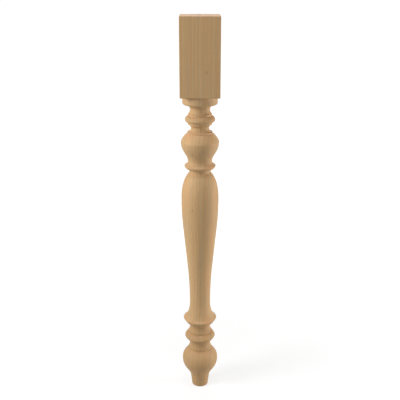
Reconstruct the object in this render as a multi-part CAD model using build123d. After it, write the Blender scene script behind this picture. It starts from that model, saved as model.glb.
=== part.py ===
from build123d import *
import os

# A turned table leg, one piece of solid wood. Millimetres, standing upright, +Z up.
# The origin is the centre of the foot on the floor, and the front of the block faces -Y.
# A cut is the depth from the faces of the square stock in to the turned surface, so every
# diameter follows the stock. A step or a depth is how much deeper the next cut goes, or how
# far a hollow sinks below its ends. A fullness is how round a curve is: 0 is a straight
# slope, and 0.55 is a quarter of an ellipse.

# The leg as a whole
LEG_HEIGHT = 730.0
STOCK_WIDTH = 70.0
BLOCK_LENGTH = 136.0
BLOCK_EDGE_BEVEL = 0.6

# Foot: a short tapered peg that swells into a ball
PEG_TIP_CUT = 19.0
PEG_TIP_BEVEL = 0.4
PEG_TOP_CUT = 17.0
PEG_LENGTH = 18.1
BALL_CROWN_CUT = 0.1
BALL_SWELL_LENGTH = 43.1
BALL_LOW_BEND = 0.2
BALL_HIGH_BEND = 0.23
BALL_TOP_CUT = 12.4
BALL_TOP_LENGTH = 22.7
BALL_FULLNESS = 0.52
BALL_TOP_STEEPNESS = 1.0

# Foot ring and the hollow above it
FOOT_RING_STEP = 0.3
FOOT_RING_LENGTH = 4.3
FOOT_HOLLOW_DEPTH = 2.0
FOOT_HOLLOW_LENGTH = 17.1

# Ankle bead, its ring and the hollow above it
ANKLE_BEAD_LOW_CUT = 11.0
ANKLE_BEAD_CROWN_CUT = 5.4
ANKLE_BEAD_LOW_LENGTH = 7.9
ANKLE_BEAD_TOP_CUT = 12.1
ANKLE_BEAD_TOP_LENGTH = 8.2
ANKLE_BEAD_FULLNESS = 0.2
ANKLE_RING_STEP = 0.6
ANKLE_RING_LENGTH = 4.0
ANKLE_HOLLOW_DEPTH = 2.4
ANKLE_HOLLOW_LENGTH = 19.1

# Lower collar: a nosed moulding that flares up into the slim end of the body
LOWER_COLLAR_LOW_CUT = 8.2
LOWER_COLLAR_LOW_LENGTH = 8.4
LOWER_COLLAR_NOSE_CUT = 2.7
LOWER_COLLAR_NOSE_DEPTH = 2.8
LOWER_COLLAR_NOSE_LENGTH = 2.4
LOWER_FLARE_LENGTH = 30.5
LOWER_FLARE_FULLNESS = 0.44

# Body: slim at the ankle, swelling to its widest near the top
BODY_NECK_CUT = 15.2
BODY_CROWN_CUT = 0.4
BODY_LOW_BEND = 0.19
BODY_HIGH_BEND = 0.133
BODY_SHOULDER_CUT = 15.3
BODY_SHOULDER_LENGTH = 52.7
BODY_SHOULDER_FULLNESS = 0.56
BODY_SHOULDER_STEEPNESS = 1.1

# Upper collar, below the vase
COLLAR_GROOVE_LENGTH = 6.4
UPPER_COLLAR_LOW_CUT = 12.6
UPPER_COLLAR_LOW_LENGTH = 6.5
UPPER_COLLAR_FULLNESS = 0.46
UPPER_COLLAR_NOSE_CUT = 6.4
UPPER_COLLAR_NOSE_DEPTH = 1.5
UPPER_COLLAR_NOSE_LENGTH = 1.4
UPPER_FLARE_LENGTH = 6.4
UPPER_FLARE_FULLNESS = 0.39

# Vase
VASE_NECK_CUT = 12.9
VASE_CROWN_CUT = 0.4
VASE_SWELL_LENGTH = 36.2
VASE_LOW_BEND = 0.15
VASE_HIGH_BEND = 0.27
VASE_TOP_CUT = 12.0
VASE_TOP_LENGTH = 15.6
VASE_FULLNESS = 0.27
VASE_RING_STEP = 0.2
VASE_RING_LENGTH = 3.1
VASE_RING_LEDGE = 1.2
VASE_HOLLOW_DEPTH = 5.2
VASE_HOLLOW_LENGTH = 13.4

# Neck bead between two rings, and the hollow up to the shoulder
NECK_LOW_RING_STEP = 1.0
NECK_LOW_RING_LENGTH = 3.8
NECK_BEAD_LOW_CUT = 12.3
NECK_BEAD_CROWN_CUT = 7.8
NECK_BEAD_LOW_LENGTH = 5.0
NECK_BEAD_TOP_CUT = 13.1
NECK_BEAD_TOP_LENGTH = 6.6
NECK_BEAD_FULLNESS = 0.46
NECK_TOP_RING_STEP = 0.5
NECK_TOP_RING_LENGTH = 3.7
NECK_HOLLOW_DEPTH = 3.4
NECK_HOLLOW_LENGTH = 17.0
NECK_HOLLOW_DEEPEST = 0.62

# Shoulder: the round disc right below the block
SHOULDER_CUT = 3.4
SHOULDER_LENGTH = 16.0
SHOULDER_LIP_DEPTH = 2.4
SHOULDER_LIP_LENGTH = 3.5
SHOULDER_LIP_FULLNESS = 0.37
SHOULDER_LEDGE = 1.4

# Marks that the lathe's centres leave in the two ends
CENTRE_MARK_DIAMETER = 5.0
CENTRE_MARK_DEPTH = 3.5
SPUR_COUNT = 4
SPUR_REACH = 11.0
SPUR_WIDTH = 1.8
SPUR_DEPTH = 1.6


def turned_radius(cut):
    """The radius that a cut leaves, measured in from the faces of the stock."""
    return STOCK_WIDTH / 2 - cut


class Outline:
    """Half of the turned outline as radius and height, drawn from the axis up or down the leg."""

    def __init__(self, height, direction):
        self.radius = 0.0
        self.height = height
        self.direction = direction
        self.edges = []

    def target(self, cut, length):
        """The point that lies a length further along the leg, at a cut's radius."""
        return turned_radius(cut), self.height + self.direction * length

    def draw(self, edge, end):
        """Add an edge and move on to its end."""
        self.edges.append(edge)
        self.radius, self.height = end

    def straight(self, cut, length=0.0):
        """A straight cut, which is the level flat of a step where it has no length."""
        end = self.target(cut, length)
        self.draw(Line((self.radius, self.height), end), end)

    def hollow(self, depth, cut, length, deepest_at=0.5):
        """A round hollow, sunk below the deeper of its two ends at a share of its own length."""
        end = self.target(cut, length)
        middle = (min(self.radius, end[0]) - depth, self.height + self.direction * length * deepest_at)
        self.draw(ThreePointArc((self.radius, self.height), middle, end), end)

    def swell(self, cut, length, fullness, steepness=0.0):
        """From a crease out to a crown or in to a neck, where the outline runs upright.

        It leaves the crease level, or at a slope that is the steepness: 1 is 45 degrees.
        """
        end = self.target(cut, length)
        reach = fullness * (end[0] - self.radius)
        leave = (self.radius + reach, self.height + steepness * abs(reach) * self.direction)
        arrive = (end[0], end[1] - fullness * (end[1] - self.height))
        self.draw(Bezier((self.radius, self.height), leave, arrive, end), end)

    def turn_over(self, cut, length, fullness, steepness=0.0):
        """From a crown or a neck, where the outline runs upright, over to a crease.

        It arrives at the crease level, or at a slope that is the steepness.
        """
        end = self.target(cut, length)
        reach = fullness * (self.radius - end[0])
        leave = (self.radius, self.height + fullness * (end[1] - self.height))
        arrive = (end[0] + reach, end[1] - steepness * abs(reach) * self.direction)
        self.draw(Bezier((self.radius, self.height), leave, arrive, end), end)

    def ogee(self, end, start_bend, end_bend, lean=0.0):
        """An S of two round bends with a straight slope between them.

        It ends upright, and starts upright or leaning outwards. The bends are shares of its
        height, up to where the straight lines on both sides of a bend would meet.
        """
        start = Vector(self.radius, self.height)
        finish = Vector(*end)
        span = finish.Y - start.Y
        first_corner = start + Vector(lean, 1) * (start_bend * span)
        last_corner = finish - Vector(0, 1) * (end_bend * span)
        slope = (last_corner - first_corner).normalized()
        slope_start = first_corner + slope * (first_corner - start).length
        slope_end = last_corner - slope * (finish - last_corner).length
        self.draw(TangentArc(start, slope_start, tangent=first_corner - start), end)
        self.draw(Line(slope_start, slope_end), end)
        self.draw(TangentArc(slope_end, finish, tangent=slope), end)

    def ring(self, cut, length):
        """A narrow straight ring, stepped in or out from what comes before it."""
        self.straight(cut)
        self.straight(cut, length)


def draw_foot(outline):
    """A tapered peg with a bevelled tip, a ball, and the ring on top of the ball."""
    lean = (PEG_TIP_CUT - PEG_TOP_CUT) / PEG_LENGTH
    outline.straight(PEG_TIP_CUT + PEG_TIP_BEVEL)
    outline.straight(PEG_TIP_CUT, PEG_TIP_BEVEL)
    outline.straight(PEG_TOP_CUT, PEG_LENGTH - PEG_TIP_BEVEL)
    ball_crown = outline.target(BALL_CROWN_CUT, BALL_SWELL_LENGTH)
    outline.ogee(ball_crown, BALL_LOW_BEND, BALL_HIGH_BEND, lean)
    outline.turn_over(BALL_TOP_CUT, BALL_TOP_LENGTH, BALL_FULLNESS, BALL_TOP_STEEPNESS)
    outline.ring(BALL_TOP_CUT + FOOT_RING_STEP, FOOT_RING_LENGTH)


def draw_ankle(outline):
    """A hollow, the ankle bead with its ring, and a second hollow under the lower collar."""
    outline.hollow(FOOT_HOLLOW_DEPTH, ANKLE_BEAD_LOW_CUT, FOOT_HOLLOW_LENGTH)
    outline.swell(ANKLE_BEAD_CROWN_CUT, ANKLE_BEAD_LOW_LENGTH, ANKLE_BEAD_FULLNESS)
    outline.turn_over(ANKLE_BEAD_TOP_CUT, ANKLE_BEAD_TOP_LENGTH, ANKLE_BEAD_FULLNESS)
    outline.ring(ANKLE_BEAD_TOP_CUT + ANKLE_RING_STEP, ANKLE_RING_LENGTH)
    outline.hollow(ANKLE_HOLLOW_DEPTH, LOWER_COLLAR_LOW_CUT, ANKLE_HOLLOW_LENGTH)


def draw_lower_collar(outline):
    """The nosed collar at the foot of the body, and its flare in to the body's neck."""
    outline.straight(LOWER_COLLAR_NOSE_CUT, LOWER_COLLAR_LOW_LENGTH)
    outline.straight(LOWER_COLLAR_NOSE_CUT + LOWER_COLLAR_NOSE_DEPTH, LOWER_COLLAR_NOSE_LENGTH)
    outline.swell(BODY_NECK_CUT, LOWER_FLARE_LENGTH, LOWER_FLARE_FULLNESS)


def draw_shoulder(outline):
    """The disc under the block, with a rounded lip, the hollow below it and its ring."""
    lip_cut = SHOULDER_CUT + SHOULDER_LIP_DEPTH
    ring_cut = NECK_BEAD_TOP_CUT + NECK_TOP_RING_STEP
    outline.ring(SHOULDER_CUT, SHOULDER_LENGTH - SHOULDER_LIP_LENGTH)
    outline.turn_over(lip_cut, SHOULDER_LIP_LENGTH, SHOULDER_LIP_FULLNESS)
    outline.straight(lip_cut + SHOULDER_LEDGE)
    outline.hollow(NECK_HOLLOW_DEPTH, ring_cut, NECK_HOLLOW_LENGTH, NECK_HOLLOW_DEEPEST)
    outline.straight(ring_cut, NECK_TOP_RING_LENGTH)


def vase_ring_cut():
    """The cut of the ring on top of the vase."""
    return VASE_TOP_CUT + VASE_RING_STEP


def draw_neck(outline):
    """The neck bead with its lower ring, and the hollow above the vase."""
    outline.straight(NECK_BEAD_TOP_CUT)
    outline.swell(NECK_BEAD_CROWN_CUT, NECK_BEAD_TOP_LENGTH, NECK_BEAD_FULLNESS)
    outline.turn_over(NECK_BEAD_LOW_CUT, NECK_BEAD_LOW_LENGTH, NECK_BEAD_FULLNESS)
    outline.ring(NECK_BEAD_LOW_CUT + NECK_LOW_RING_STEP, NECK_LOW_RING_LENGTH)
    outline.hollow(VASE_HOLLOW_DEPTH, vase_ring_cut() + VASE_RING_LEDGE, VASE_HOLLOW_LENGTH)


def draw_vase(outline):
    """The vase under its ring, and the upper collar that it stands on."""
    outline.ring(vase_ring_cut(), VASE_RING_LENGTH)
    outline.straight(VASE_TOP_CUT)
    outline.swell(VASE_CROWN_CUT, VASE_TOP_LENGTH, VASE_FULLNESS)
    vase_neck = outline.target(VASE_NECK_CUT, VASE_SWELL_LENGTH)
    outline.ogee(vase_neck, VASE_HIGH_BEND, VASE_LOW_BEND)
    flare_cut = UPPER_COLLAR_NOSE_CUT + UPPER_COLLAR_NOSE_DEPTH
    outline.turn_over(flare_cut, UPPER_FLARE_LENGTH, UPPER_FLARE_FULLNESS)
    outline.straight(UPPER_COLLAR_NOSE_CUT, UPPER_COLLAR_NOSE_LENGTH)
    outline.turn_over(UPPER_COLLAR_LOW_CUT, UPPER_COLLAR_LOW_LENGTH, UPPER_COLLAR_FULLNESS)
    outline.ring(BODY_SHOULDER_CUT, COLLAR_GROOVE_LENGTH)


def draw_body_shoulder(outline):
    """The round shoulder of the body, down to its widest place."""
    outline.swell(BODY_CROWN_CUT, BODY_SHOULDER_LENGTH, BODY_SHOULDER_FULLNESS, BODY_SHOULDER_STEEPNESS)


def turned_part(block_bottom):
    """Everything below the block. The long body fills what the mouldings leave between them."""
    lower = Outline(0.0, 1)
    draw_foot(lower)
    draw_ankle(lower)
    draw_lower_collar(lower)
    upper = Outline(block_bottom, -1)
    draw_shoulder(upper)
    draw_neck(upper)
    draw_vase(upper)
    draw_body_shoulder(upper)
    lower.ogee((upper.radius, upper.height), BODY_LOW_BEND, BODY_HIGH_BEND)
    axis = Line((0, 0), (0, block_bottom))
    half_section = make_face([*lower.edges, *upper.edges, axis])
    return revolve(Plane.XZ * half_section, axis=Axis.Z)


def square_block(block_bottom):
    """The square top of the leg, with a small bevel on every edge."""
    block = Box(STOCK_WIDTH, STOCK_WIDTH, BLOCK_LENGTH, align=(Align.CENTER, Align.CENTER, Align.MIN))
    return Pos(0, 0, block_bottom) * chamfer(block.edges(), BLOCK_EDGE_BEVEL)


def centre_mark():
    """The small cone that a lathe's centre presses into an end, with its mouth at zero height."""
    return Cone(0, CENTRE_MARK_DIAMETER / 2, CENTRE_MARK_DEPTH, align=(Align.CENTER, Align.CENTER, Align.MAX))


def drive_mark():
    """The mark of the driving end: the cone, and a cross of shallow slots from the spurs."""
    slot = Box(SPUR_REACH, SPUR_WIDTH, SPUR_DEPTH, align=(Align.MIN, Align.CENTER, Align.MAX))
    slots = [Rot(0, 0, 360 / SPUR_COUNT * number) * slot for number in range(SPUR_COUNT)]
    return centre_mark() + slots


def build_leg():
    """The whole leg as one solid."""
    block_bottom = LEG_HEIGHT - BLOCK_LENGTH
    leg = turned_part(block_bottom) + square_block(block_bottom)
    leg -= Rot(180, 0, 0) * centre_mark()
    leg -= Pos(0, 0, LEG_HEIGHT) * drive_mark()
    return leg


os.makedirs("parts", exist_ok=True)
export_step(build_leg(), "parts/leg.step")
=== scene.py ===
"""The looks of a turned beech furniture leg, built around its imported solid.

Everything is in metres in the part's own frame: the foot stands on the floor at the origin,
+Z runs up the turning axis, and the front of the square block faces -Y.
"""

import cmath
import logging
import math
from dataclasses import dataclass, field
from enum import Enum

import bpy
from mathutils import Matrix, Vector


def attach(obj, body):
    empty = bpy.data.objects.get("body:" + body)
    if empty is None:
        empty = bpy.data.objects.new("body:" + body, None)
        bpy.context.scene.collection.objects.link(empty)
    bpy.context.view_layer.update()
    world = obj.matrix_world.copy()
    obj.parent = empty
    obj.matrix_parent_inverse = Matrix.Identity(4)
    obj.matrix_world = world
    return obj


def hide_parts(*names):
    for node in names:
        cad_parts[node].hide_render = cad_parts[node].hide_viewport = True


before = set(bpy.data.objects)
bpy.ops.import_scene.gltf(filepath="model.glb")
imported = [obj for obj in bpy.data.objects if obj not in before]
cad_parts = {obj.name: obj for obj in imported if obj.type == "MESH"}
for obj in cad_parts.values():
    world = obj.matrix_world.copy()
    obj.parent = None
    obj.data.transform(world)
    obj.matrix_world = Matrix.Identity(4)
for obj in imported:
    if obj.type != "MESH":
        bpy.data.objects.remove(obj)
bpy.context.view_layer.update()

BODY = "root"
NODE = "leg"
# marks the faces that face up or down, where the finish lays painted light
END_GRAIN_PAINTED_LIGHT = "end_grain_painted_light"
SQUARE = "square"

Colour = tuple[float, float, float, float]
Place = tuple[float, float, float]
NodeSocket = bpy.types.NodeSocket
Sockets = dict[str, NodeSocket]

WHITE: Colour = (1.0, 1.0, 1.0, 1.0)

log = logging.getLogger("leg")


class Socket(Enum):
    """The kinds of named socket that the node groups have."""

    NUMBER = "NodeSocketFloat"
    WHOLE = "NodeSocketInt"
    VECTOR = "NodeSocketVector"
    SHAPE = "NodeSocketGeometry"
    FINISH = "NodeSocketMaterial"


class Section(Enum):
    """The cross-section of the leg at a point of its outline."""

    ROUND = 0.0
    SQUARE = 1.0


@dataclass(frozen=True)
class Knob:
    """A named input or output of a node group."""

    name: str
    kind: Socket
    value: object = None


class Sheet:
    """A node tree that is filled in call by call, where a value is a number or a socket."""

    def __init__(self, tree: bpy.types.NodeTree) -> None:
        """Take the tree to fill in.

        Args:
            tree: The node tree of a material, a world or a group.
        """
        self.tree = tree

    @classmethod
    def group(cls, name: str, kind: str, inputs: list[Knob],
              outputs: list[Knob]) -> tuple["Sheet", Sockets, bpy.types.Node]:
        """Start a node group with named sockets.

        Args:
            name: The group's name.
            kind: ShaderNodeTree or GeometryNodeTree.
            inputs: Its inputs, with their first values.
            outputs: Its outputs.

        Returns:
            The sheet, the group's inputs by name, and its output node.
        """
        tree = bpy.data.node_groups.new(name, kind)
        for way, knobs in (("INPUT", inputs), ("OUTPUT", outputs)):
            for knob in knobs:
                socket = tree.interface.new_socket(knob.name, in_out=way, socket_type=knob.kind.value)
                if knob.value is not None:
                    socket.default_value = knob.value
        sheet = cls(tree)
        given = sheet.add("NodeGroupInput").outputs
        return sheet, {socket.name: socket for socket in given}, sheet.add("NodeGroupOutput")

    def add(self, kind: str, inputs: dict[str, object] | None = None, **settings: object) -> bpy.types.Node:
        """Add a node.

        Args:
            kind: The node's type, as Blender names it.
            inputs: What its inputs get, by name.
            settings: Its properties.

        Returns:
            The new node.
        """
        node = self.tree.nodes.new(kind)
        for name, value in settings.items():
            setattr(node, name, value)
        for name, value in (inputs or {}).items():
            self.feed(next(each for each in node.inputs if each.name == name and each.enabled), value)
        return node

    def feed(self, socket: NodeSocket, value: object) -> None:
        """Link a socket to an input, or write a plain value on it.

        Args:
            socket: The input that is fed.
            value: An output socket, or a number, vector, colour or name.
        """
        if isinstance(value, NodeSocket):
            self.tree.links.new(value, socket)
        else:
            socket.default_value = value

    def math(self, operation: str, *values: object) -> NodeSocket:
        """Work out a number.

        Args:
            operation: The name of the Math node's operation.
            values: Its one to three inputs.

        Returns:
            The socket with the result.
        """
        node = self.add("ShaderNodeMath", operation=operation)
        for socket, value in zip(node.inputs, values):
            self.feed(socket, value)
        return node.outputs[0]

    def scale(self, vector: object, *sizes: object) -> NodeSocket:
        """Divide a vector by a size for each of its three numbers.

        Args:
            vector: The socket with the vector.
            sizes: The three sizes.

        Returns:
            The socket with the result.
        """
        node = self.add("ShaderNodeVectorMath", operation="DIVIDE")
        self.feed(node.inputs[0], vector)
        self.feed(node.inputs[1], self.combine(*sizes))
        return node.outputs[0]

    def combine(self, x: object, y: object, z: object) -> NodeSocket:
        """Make a vector of three numbers.

        Args:
            x: The first number.
            y: The second number.
            z: The third number.

        Returns:
            The socket with the vector.
        """
        return self.add("ShaderNodeCombineXYZ", {"X": x, "Y": y, "Z": z}).outputs[0]

    def split(self, vector: object) -> list[NodeSocket]:
        """Take a vector apart.

        Args:
            vector: The socket with the vector.

        Returns:
            The sockets with its three numbers.
        """
        return list(self.add("ShaderNodeSeparateXYZ", {"Vector": vector}).outputs)

    def length(self, *parts: object) -> NodeSocket:
        """Work out the length of a vector from its parts.

        Args:
            parts: Its two or three numbers.

        Returns:
            The socket with the length.
        """
        total = self.math("MULTIPLY", parts[0], parts[0])
        for part in parts[1:]:
            total = self.math("MULTIPLY_ADD", part, part, total)
        return self.math("SQRT", total)

    def whole_and_rest(self, number: object,
                       size: object) -> tuple[NodeSocket, NodeSocket]:
        """Divide a whole number by another, with a half added so that rounding can't reach the next one.

        Args:
            number: The number that is divided.
            size: The number that it is divided by.

        Returns:
            The sockets with how many times the size goes into the number, and with the rest.
        """
        times = self.math("FLOOR", self.math("DIVIDE", self.math("ADD", number, 0.5), size))
        return times, self.math("SUBTRACT", number, self.math("MULTIPLY", times, size))

    def remap(self, value: object, old: tuple[object, object], new: tuple[object, object],
              smooth: bool = False) -> NodeSocket:
        """Map a number from one range to another, without leaving the new range.

        Args:
            value: The number.
            old: The range that it comes from.
            new: The range that it goes to.
            smooth: Whether it eases in and out.

        Returns:
            The socket with the result.
        """
        ends = {"Value": value, "From Min": old[0], "From Max": old[1], "To Min": new[0], "To Max": new[1]}
        step = "SMOOTHSTEP" if smooth else "LINEAR"
        return self.add("ShaderNodeMapRange", ends, clamp=True, interpolation_type=step).outputs[0]

    def blend(self, factor: object, first: object, second: object,
              mode: str = "MIX") -> NodeSocket:
        """Blend two colours.

        Args:
            factor: The share of the second colour.
            first: The first colour.
            second: The second colour.
            mode: The name of the blend type.

        Returns:
            The socket with the blended colour.
        """
        colours = {"Factor": factor, "A": first, "B": second}
        node = self.add("ShaderNodeMix", colours, data_type="RGBA", blend_type=mode)
        return next(each for each in node.outputs if each.enabled)

    def noise(self, vector: object, detail: float = 2.0, roughness: float = 0.5) -> NodeSocket:
        """Make smooth noise of unit scale.

        Args:
            vector: Where it is read, already divided by the size of the pattern.
            detail: How many finer layers it has.
            roughness: How strong those layers are.

        Returns:
            The socket with a number around a half.
        """
        inputs = {"Vector": vector, "Scale": 1.0, "Detail": detail, "Roughness": roughness}
        return self.add("ShaderNodeTexNoise", inputs, noise_dimensions="3D").outputs[0]

    def place(self, tree: bpy.types.NodeTree, inputs: dict[str, object]) -> Sockets:
        """Place a shader group.

        Args:
            tree: The group.
            inputs: What its inputs get, by name.

        Returns:
            Its outputs by name.
        """
        node = self.add("ShaderNodeGroup", node_tree=tree)
        for name, value in inputs.items():
            self.feed(node.inputs[name], value)
        return {socket.name: socket for socket in node.outputs}


@dataclass(frozen=True)
class TrunkGroup:
    """Shader group: where in the tree's trunk a point of the leg was, with the pith on its left."""

    pith: tuple[float, float] = (-0.150, 0.006)
    wander: float = 0.0048
    wander_across: float = 0.06
    wander_along: float = 0.34
    wander_detail: float = 2.5
    wander_roughness: float = 0.45

    def build(self) -> bpy.types.NodeTree:
        """Build the group.

        Returns:
            A group whose place has the way round the rings, out across them and up the trunk.
        """
        sheet, given, result = Sheet.group("trunk", "ShaderNodeTree", [
            Knob("Vector", Socket.VECTOR),
            Knob("Pith X", Socket.NUMBER, self.pith[0]),
            Knob("Pith Y", Socket.NUMBER, self.pith[1]),
            Knob("Wander", Socket.NUMBER, self.wander),
        ], [Knob("Place", Socket.VECTOR)])
        x, y, z = sheet.split(given["Vector"])
        across = sheet.math("SUBTRACT", x, given["Pith X"])
        away = sheet.math("SUBTRACT", given["Pith Y"], y)
        radius = sheet.length(across, away)
        spot = sheet.scale(given["Vector"], self.wander_across, self.wander_across, self.wander_along)
        loose = sheet.noise(spot, self.wander_detail, self.wander_roughness)
        shift = sheet.math("MULTIPLY", sheet.math("SUBTRACT", loose, 0.5), given["Wander"])
        turn = sheet.math("MULTIPLY", sheet.math("ARCTAN2", across, away), radius)
        sheet.feed(result.inputs["Place"], sheet.combine(turn, sheet.math("ADD", radius, shift), z))
        return sheet.tree


@dataclass(frozen=True)
class RingsGroup:
    """Shader group: the trunk's yearly rings, and the broader bands of good and poor years."""

    ring_width: float = 0.0023
    late_wood_rise: float = 3.2
    ring_end: float = 0.88
    years_in_band: float = 2.3

    def build(self) -> bpy.types.NodeTree:
        """Build the group.

        Returns:
            A group that puts out the dark late wood of each ring, and the bands.
        """
        sheet, given, result = Sheet.group("rings", "ShaderNodeTree", [
            Knob("Place", Socket.VECTOR),
            Knob("Ring Width", Socket.NUMBER, self.ring_width),
        ], [Knob("Late Wood", Socket.NUMBER), Knob("Band", Socket.NUMBER)])
        _, out, _ = sheet.split(given["Place"])
        years = sheet.math("DIVIDE", out, given["Ring Width"])
        part = sheet.math("FRACT", years)
        rise = sheet.math("POWER", part, self.late_wood_rise)
        end = sheet.remap(part, (self.ring_end, 1.0), (1.0, 0.0), smooth=True)
        band_place = sheet.combine(sheet.math("DIVIDE", years, self.years_in_band), 0.0, 0.0)
        sheet.feed(result.inputs["Late Wood"], sheet.math("MULTIPLY", rise, end))
        sheet.feed(result.inputs["Band"], sheet.noise(band_place))
        return sheet.tree


@dataclass(frozen=True)
class FibresGroup:
    """Shader group: soft streaks of darker and lighter fibres that run up the trunk."""

    width: float = 0.002
    length: float = 0.08
    detail: float = 3.0
    roughness: float = 0.55

    def build(self) -> bpy.types.NodeTree:
        """Build the group.

        Returns:
            A group that puts out the streaks as a number around a half.
        """
        sheet, given, result = Sheet.group("fibres", "ShaderNodeTree", [
            Knob("Place", Socket.VECTOR),
            Knob("Width", Socket.NUMBER, self.width),
            Knob("Length", Socket.NUMBER, self.length),
        ], [Knob("Streak", Socket.NUMBER)])
        spot = sheet.scale(given["Place"], given["Width"], given["Width"], given["Length"])
        sheet.feed(result.inputs["Streak"], sheet.noise(spot, self.detail, self.roughness))
        return sheet.tree


@dataclass(frozen=True)
class SpindlesGroup:
    """Shader group: slim dark spindles, as rays and pores are where the surface cuts them."""

    width: float = 0.0008
    depth: float = 0.0008
    length: float = 0.003
    share: float = 0.5
    core: float = 0.08
    rim: float = 0.42

    def build(self) -> bpy.types.NodeTree:
        """Build the group.

        Returns:
            A group that puts out the spindles as a mask.
        """
        sheet, given, result = Sheet.group("spindles", "ShaderNodeTree", [
            Knob("Place", Socket.VECTOR),
            Knob("Width", Socket.NUMBER, self.width),
            Knob("Depth", Socket.NUMBER, self.depth),
            Knob("Length", Socket.NUMBER, self.length),
            Knob("Share", Socket.NUMBER, self.share),
        ], [Knob("Mask", Socket.NUMBER)])
        spot = sheet.scale(given["Place"], given["Width"], given["Depth"], given["Length"])
        cells = sheet.add("ShaderNodeTexVoronoi", {"Vector": spot, "Scale": 1.0}, feature="F1")
        shape = sheet.remap(cells.outputs["Distance"], (self.core, self.rim), (1.0, 0.0), smooth=True)
        chance = sheet.split(cells.outputs["Color"])[0]
        chosen = sheet.math("LESS_THAN", chance, given["Share"])
        sheet.feed(result.inputs["Mask"], sheet.math("MULTIPLY", shape, chosen))
        return sheet.tree


@dataclass(frozen=True)
class SpeckOrLightPatchGroup:
    """Shader group: one natural speck, or one patch of painted warm light, on the front of the leg."""

    width: float = 0.002
    length: float = 0.004
    front: tuple[float, float] = (-0.009, -0.001)

    def build(self) -> bpy.types.NodeTree:
        """Build the group.

        Returns:
            A group that puts out the speck as a mask.
        """
        sheet, given, result = Sheet.group("speck", "ShaderNodeTree", [
            Knob("Vector", Socket.VECTOR),
            Knob("Across", Socket.NUMBER),
            Knob("Height", Socket.NUMBER),
            Knob("Width", Socket.NUMBER, self.width),
            Knob("Length", Socket.NUMBER, self.length),
        ], [Knob("Mask", Socket.NUMBER)])
        x, y, z = sheet.split(given["Vector"])
        right = sheet.math("DIVIDE", sheet.math("SUBTRACT", x, given["Across"]), given["Width"])
        up = sheet.math("DIVIDE", sheet.math("SUBTRACT", z, given["Height"]), given["Length"])
        shape = sheet.remap(sheet.length(right, up), (0.0, 1.0), (1.0, 0.0), smooth=True)
        front = sheet.remap(y, self.front, (1.0, 0.0), smooth=True)
        sheet.feed(result.inputs["Mask"], sheet.math("MULTIPLY", shape, front))
        return sheet.tree


@dataclass(frozen=True)
class SandingGroup:
    """Shader group: the faint rings that sandpaper leaves on a spinning leg, below its block."""

    top: float = 0.6
    pitch: float = 0.0005
    drift: float = 0.09
    fade: float = 0.0004

    def build(self) -> bpy.types.NodeTree:
        """Build the group.

        Returns:
            A group that puts out the rings as a height around a half.
        """
        sheet, given, result = Sheet.group("sanding", "ShaderNodeTree", [
            Knob("Vector", Socket.VECTOR),
            Knob("Top", Socket.NUMBER, self.top),
        ], [Knob("Height", Socket.NUMBER)])
        height = sheet.split(given["Vector"])[2]
        lines = sheet.noise(sheet.scale(given["Vector"], self.drift, self.drift, self.pitch))
        fade_start = sheet.math("SUBTRACT", given["Top"], self.fade)
        turned = sheet.remap(height, (fade_start, given["Top"]), (1.0, 0.0))
        sheet.feed(result.inputs["Height"], sheet.math("MULTIPLY", lines, turned))
        return sheet.tree


@dataclass(frozen=True)
class Streak:
    """The size of one kind of streak in the wood."""

    width: float
    length: float

    def place(self, sheet: Sheet, fibres: bpy.types.NodeTree, trunk: NodeSocket) -> NodeSocket:
        """Place the fibres at this size.

        Args:
            sheet: The material's sheet.
            fibres: The group of the fibres.
            trunk: The place in the trunk.

        Returns:
            The socket with the streaks.
        """
        return sheet.place(fibres, {"Place": trunk, "Width": self.width, "Length": self.length})["Streak"]


@dataclass(frozen=True)
class Spindle:
    """The size of one kind of spindle in the wood, and the share of the places that have one."""

    width: float
    depth: float
    length: float
    share: float

    def place(self, sheet: Sheet, spindles: bpy.types.NodeTree, trunk: NodeSocket) -> NodeSocket:
        """Place the spindles at this size.

        Args:
            sheet: The material's sheet.
            spindles: The group of the spindles.
            trunk: The place in the trunk.

        Returns:
            The socket with their mask.
        """
        return sheet.place(spindles, {"Place": trunk, "Width": self.width, "Depth": self.depth,
                                      "Length": self.length, "Share": self.share})["Mask"]


@dataclass(frozen=True)
class SpeckOrLightPatch:
    """A small dark speck in the wood, or a long patch of painted warm light, by its place on the front."""

    across: float
    height: float
    width: float
    length: float
    strength: float


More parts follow.
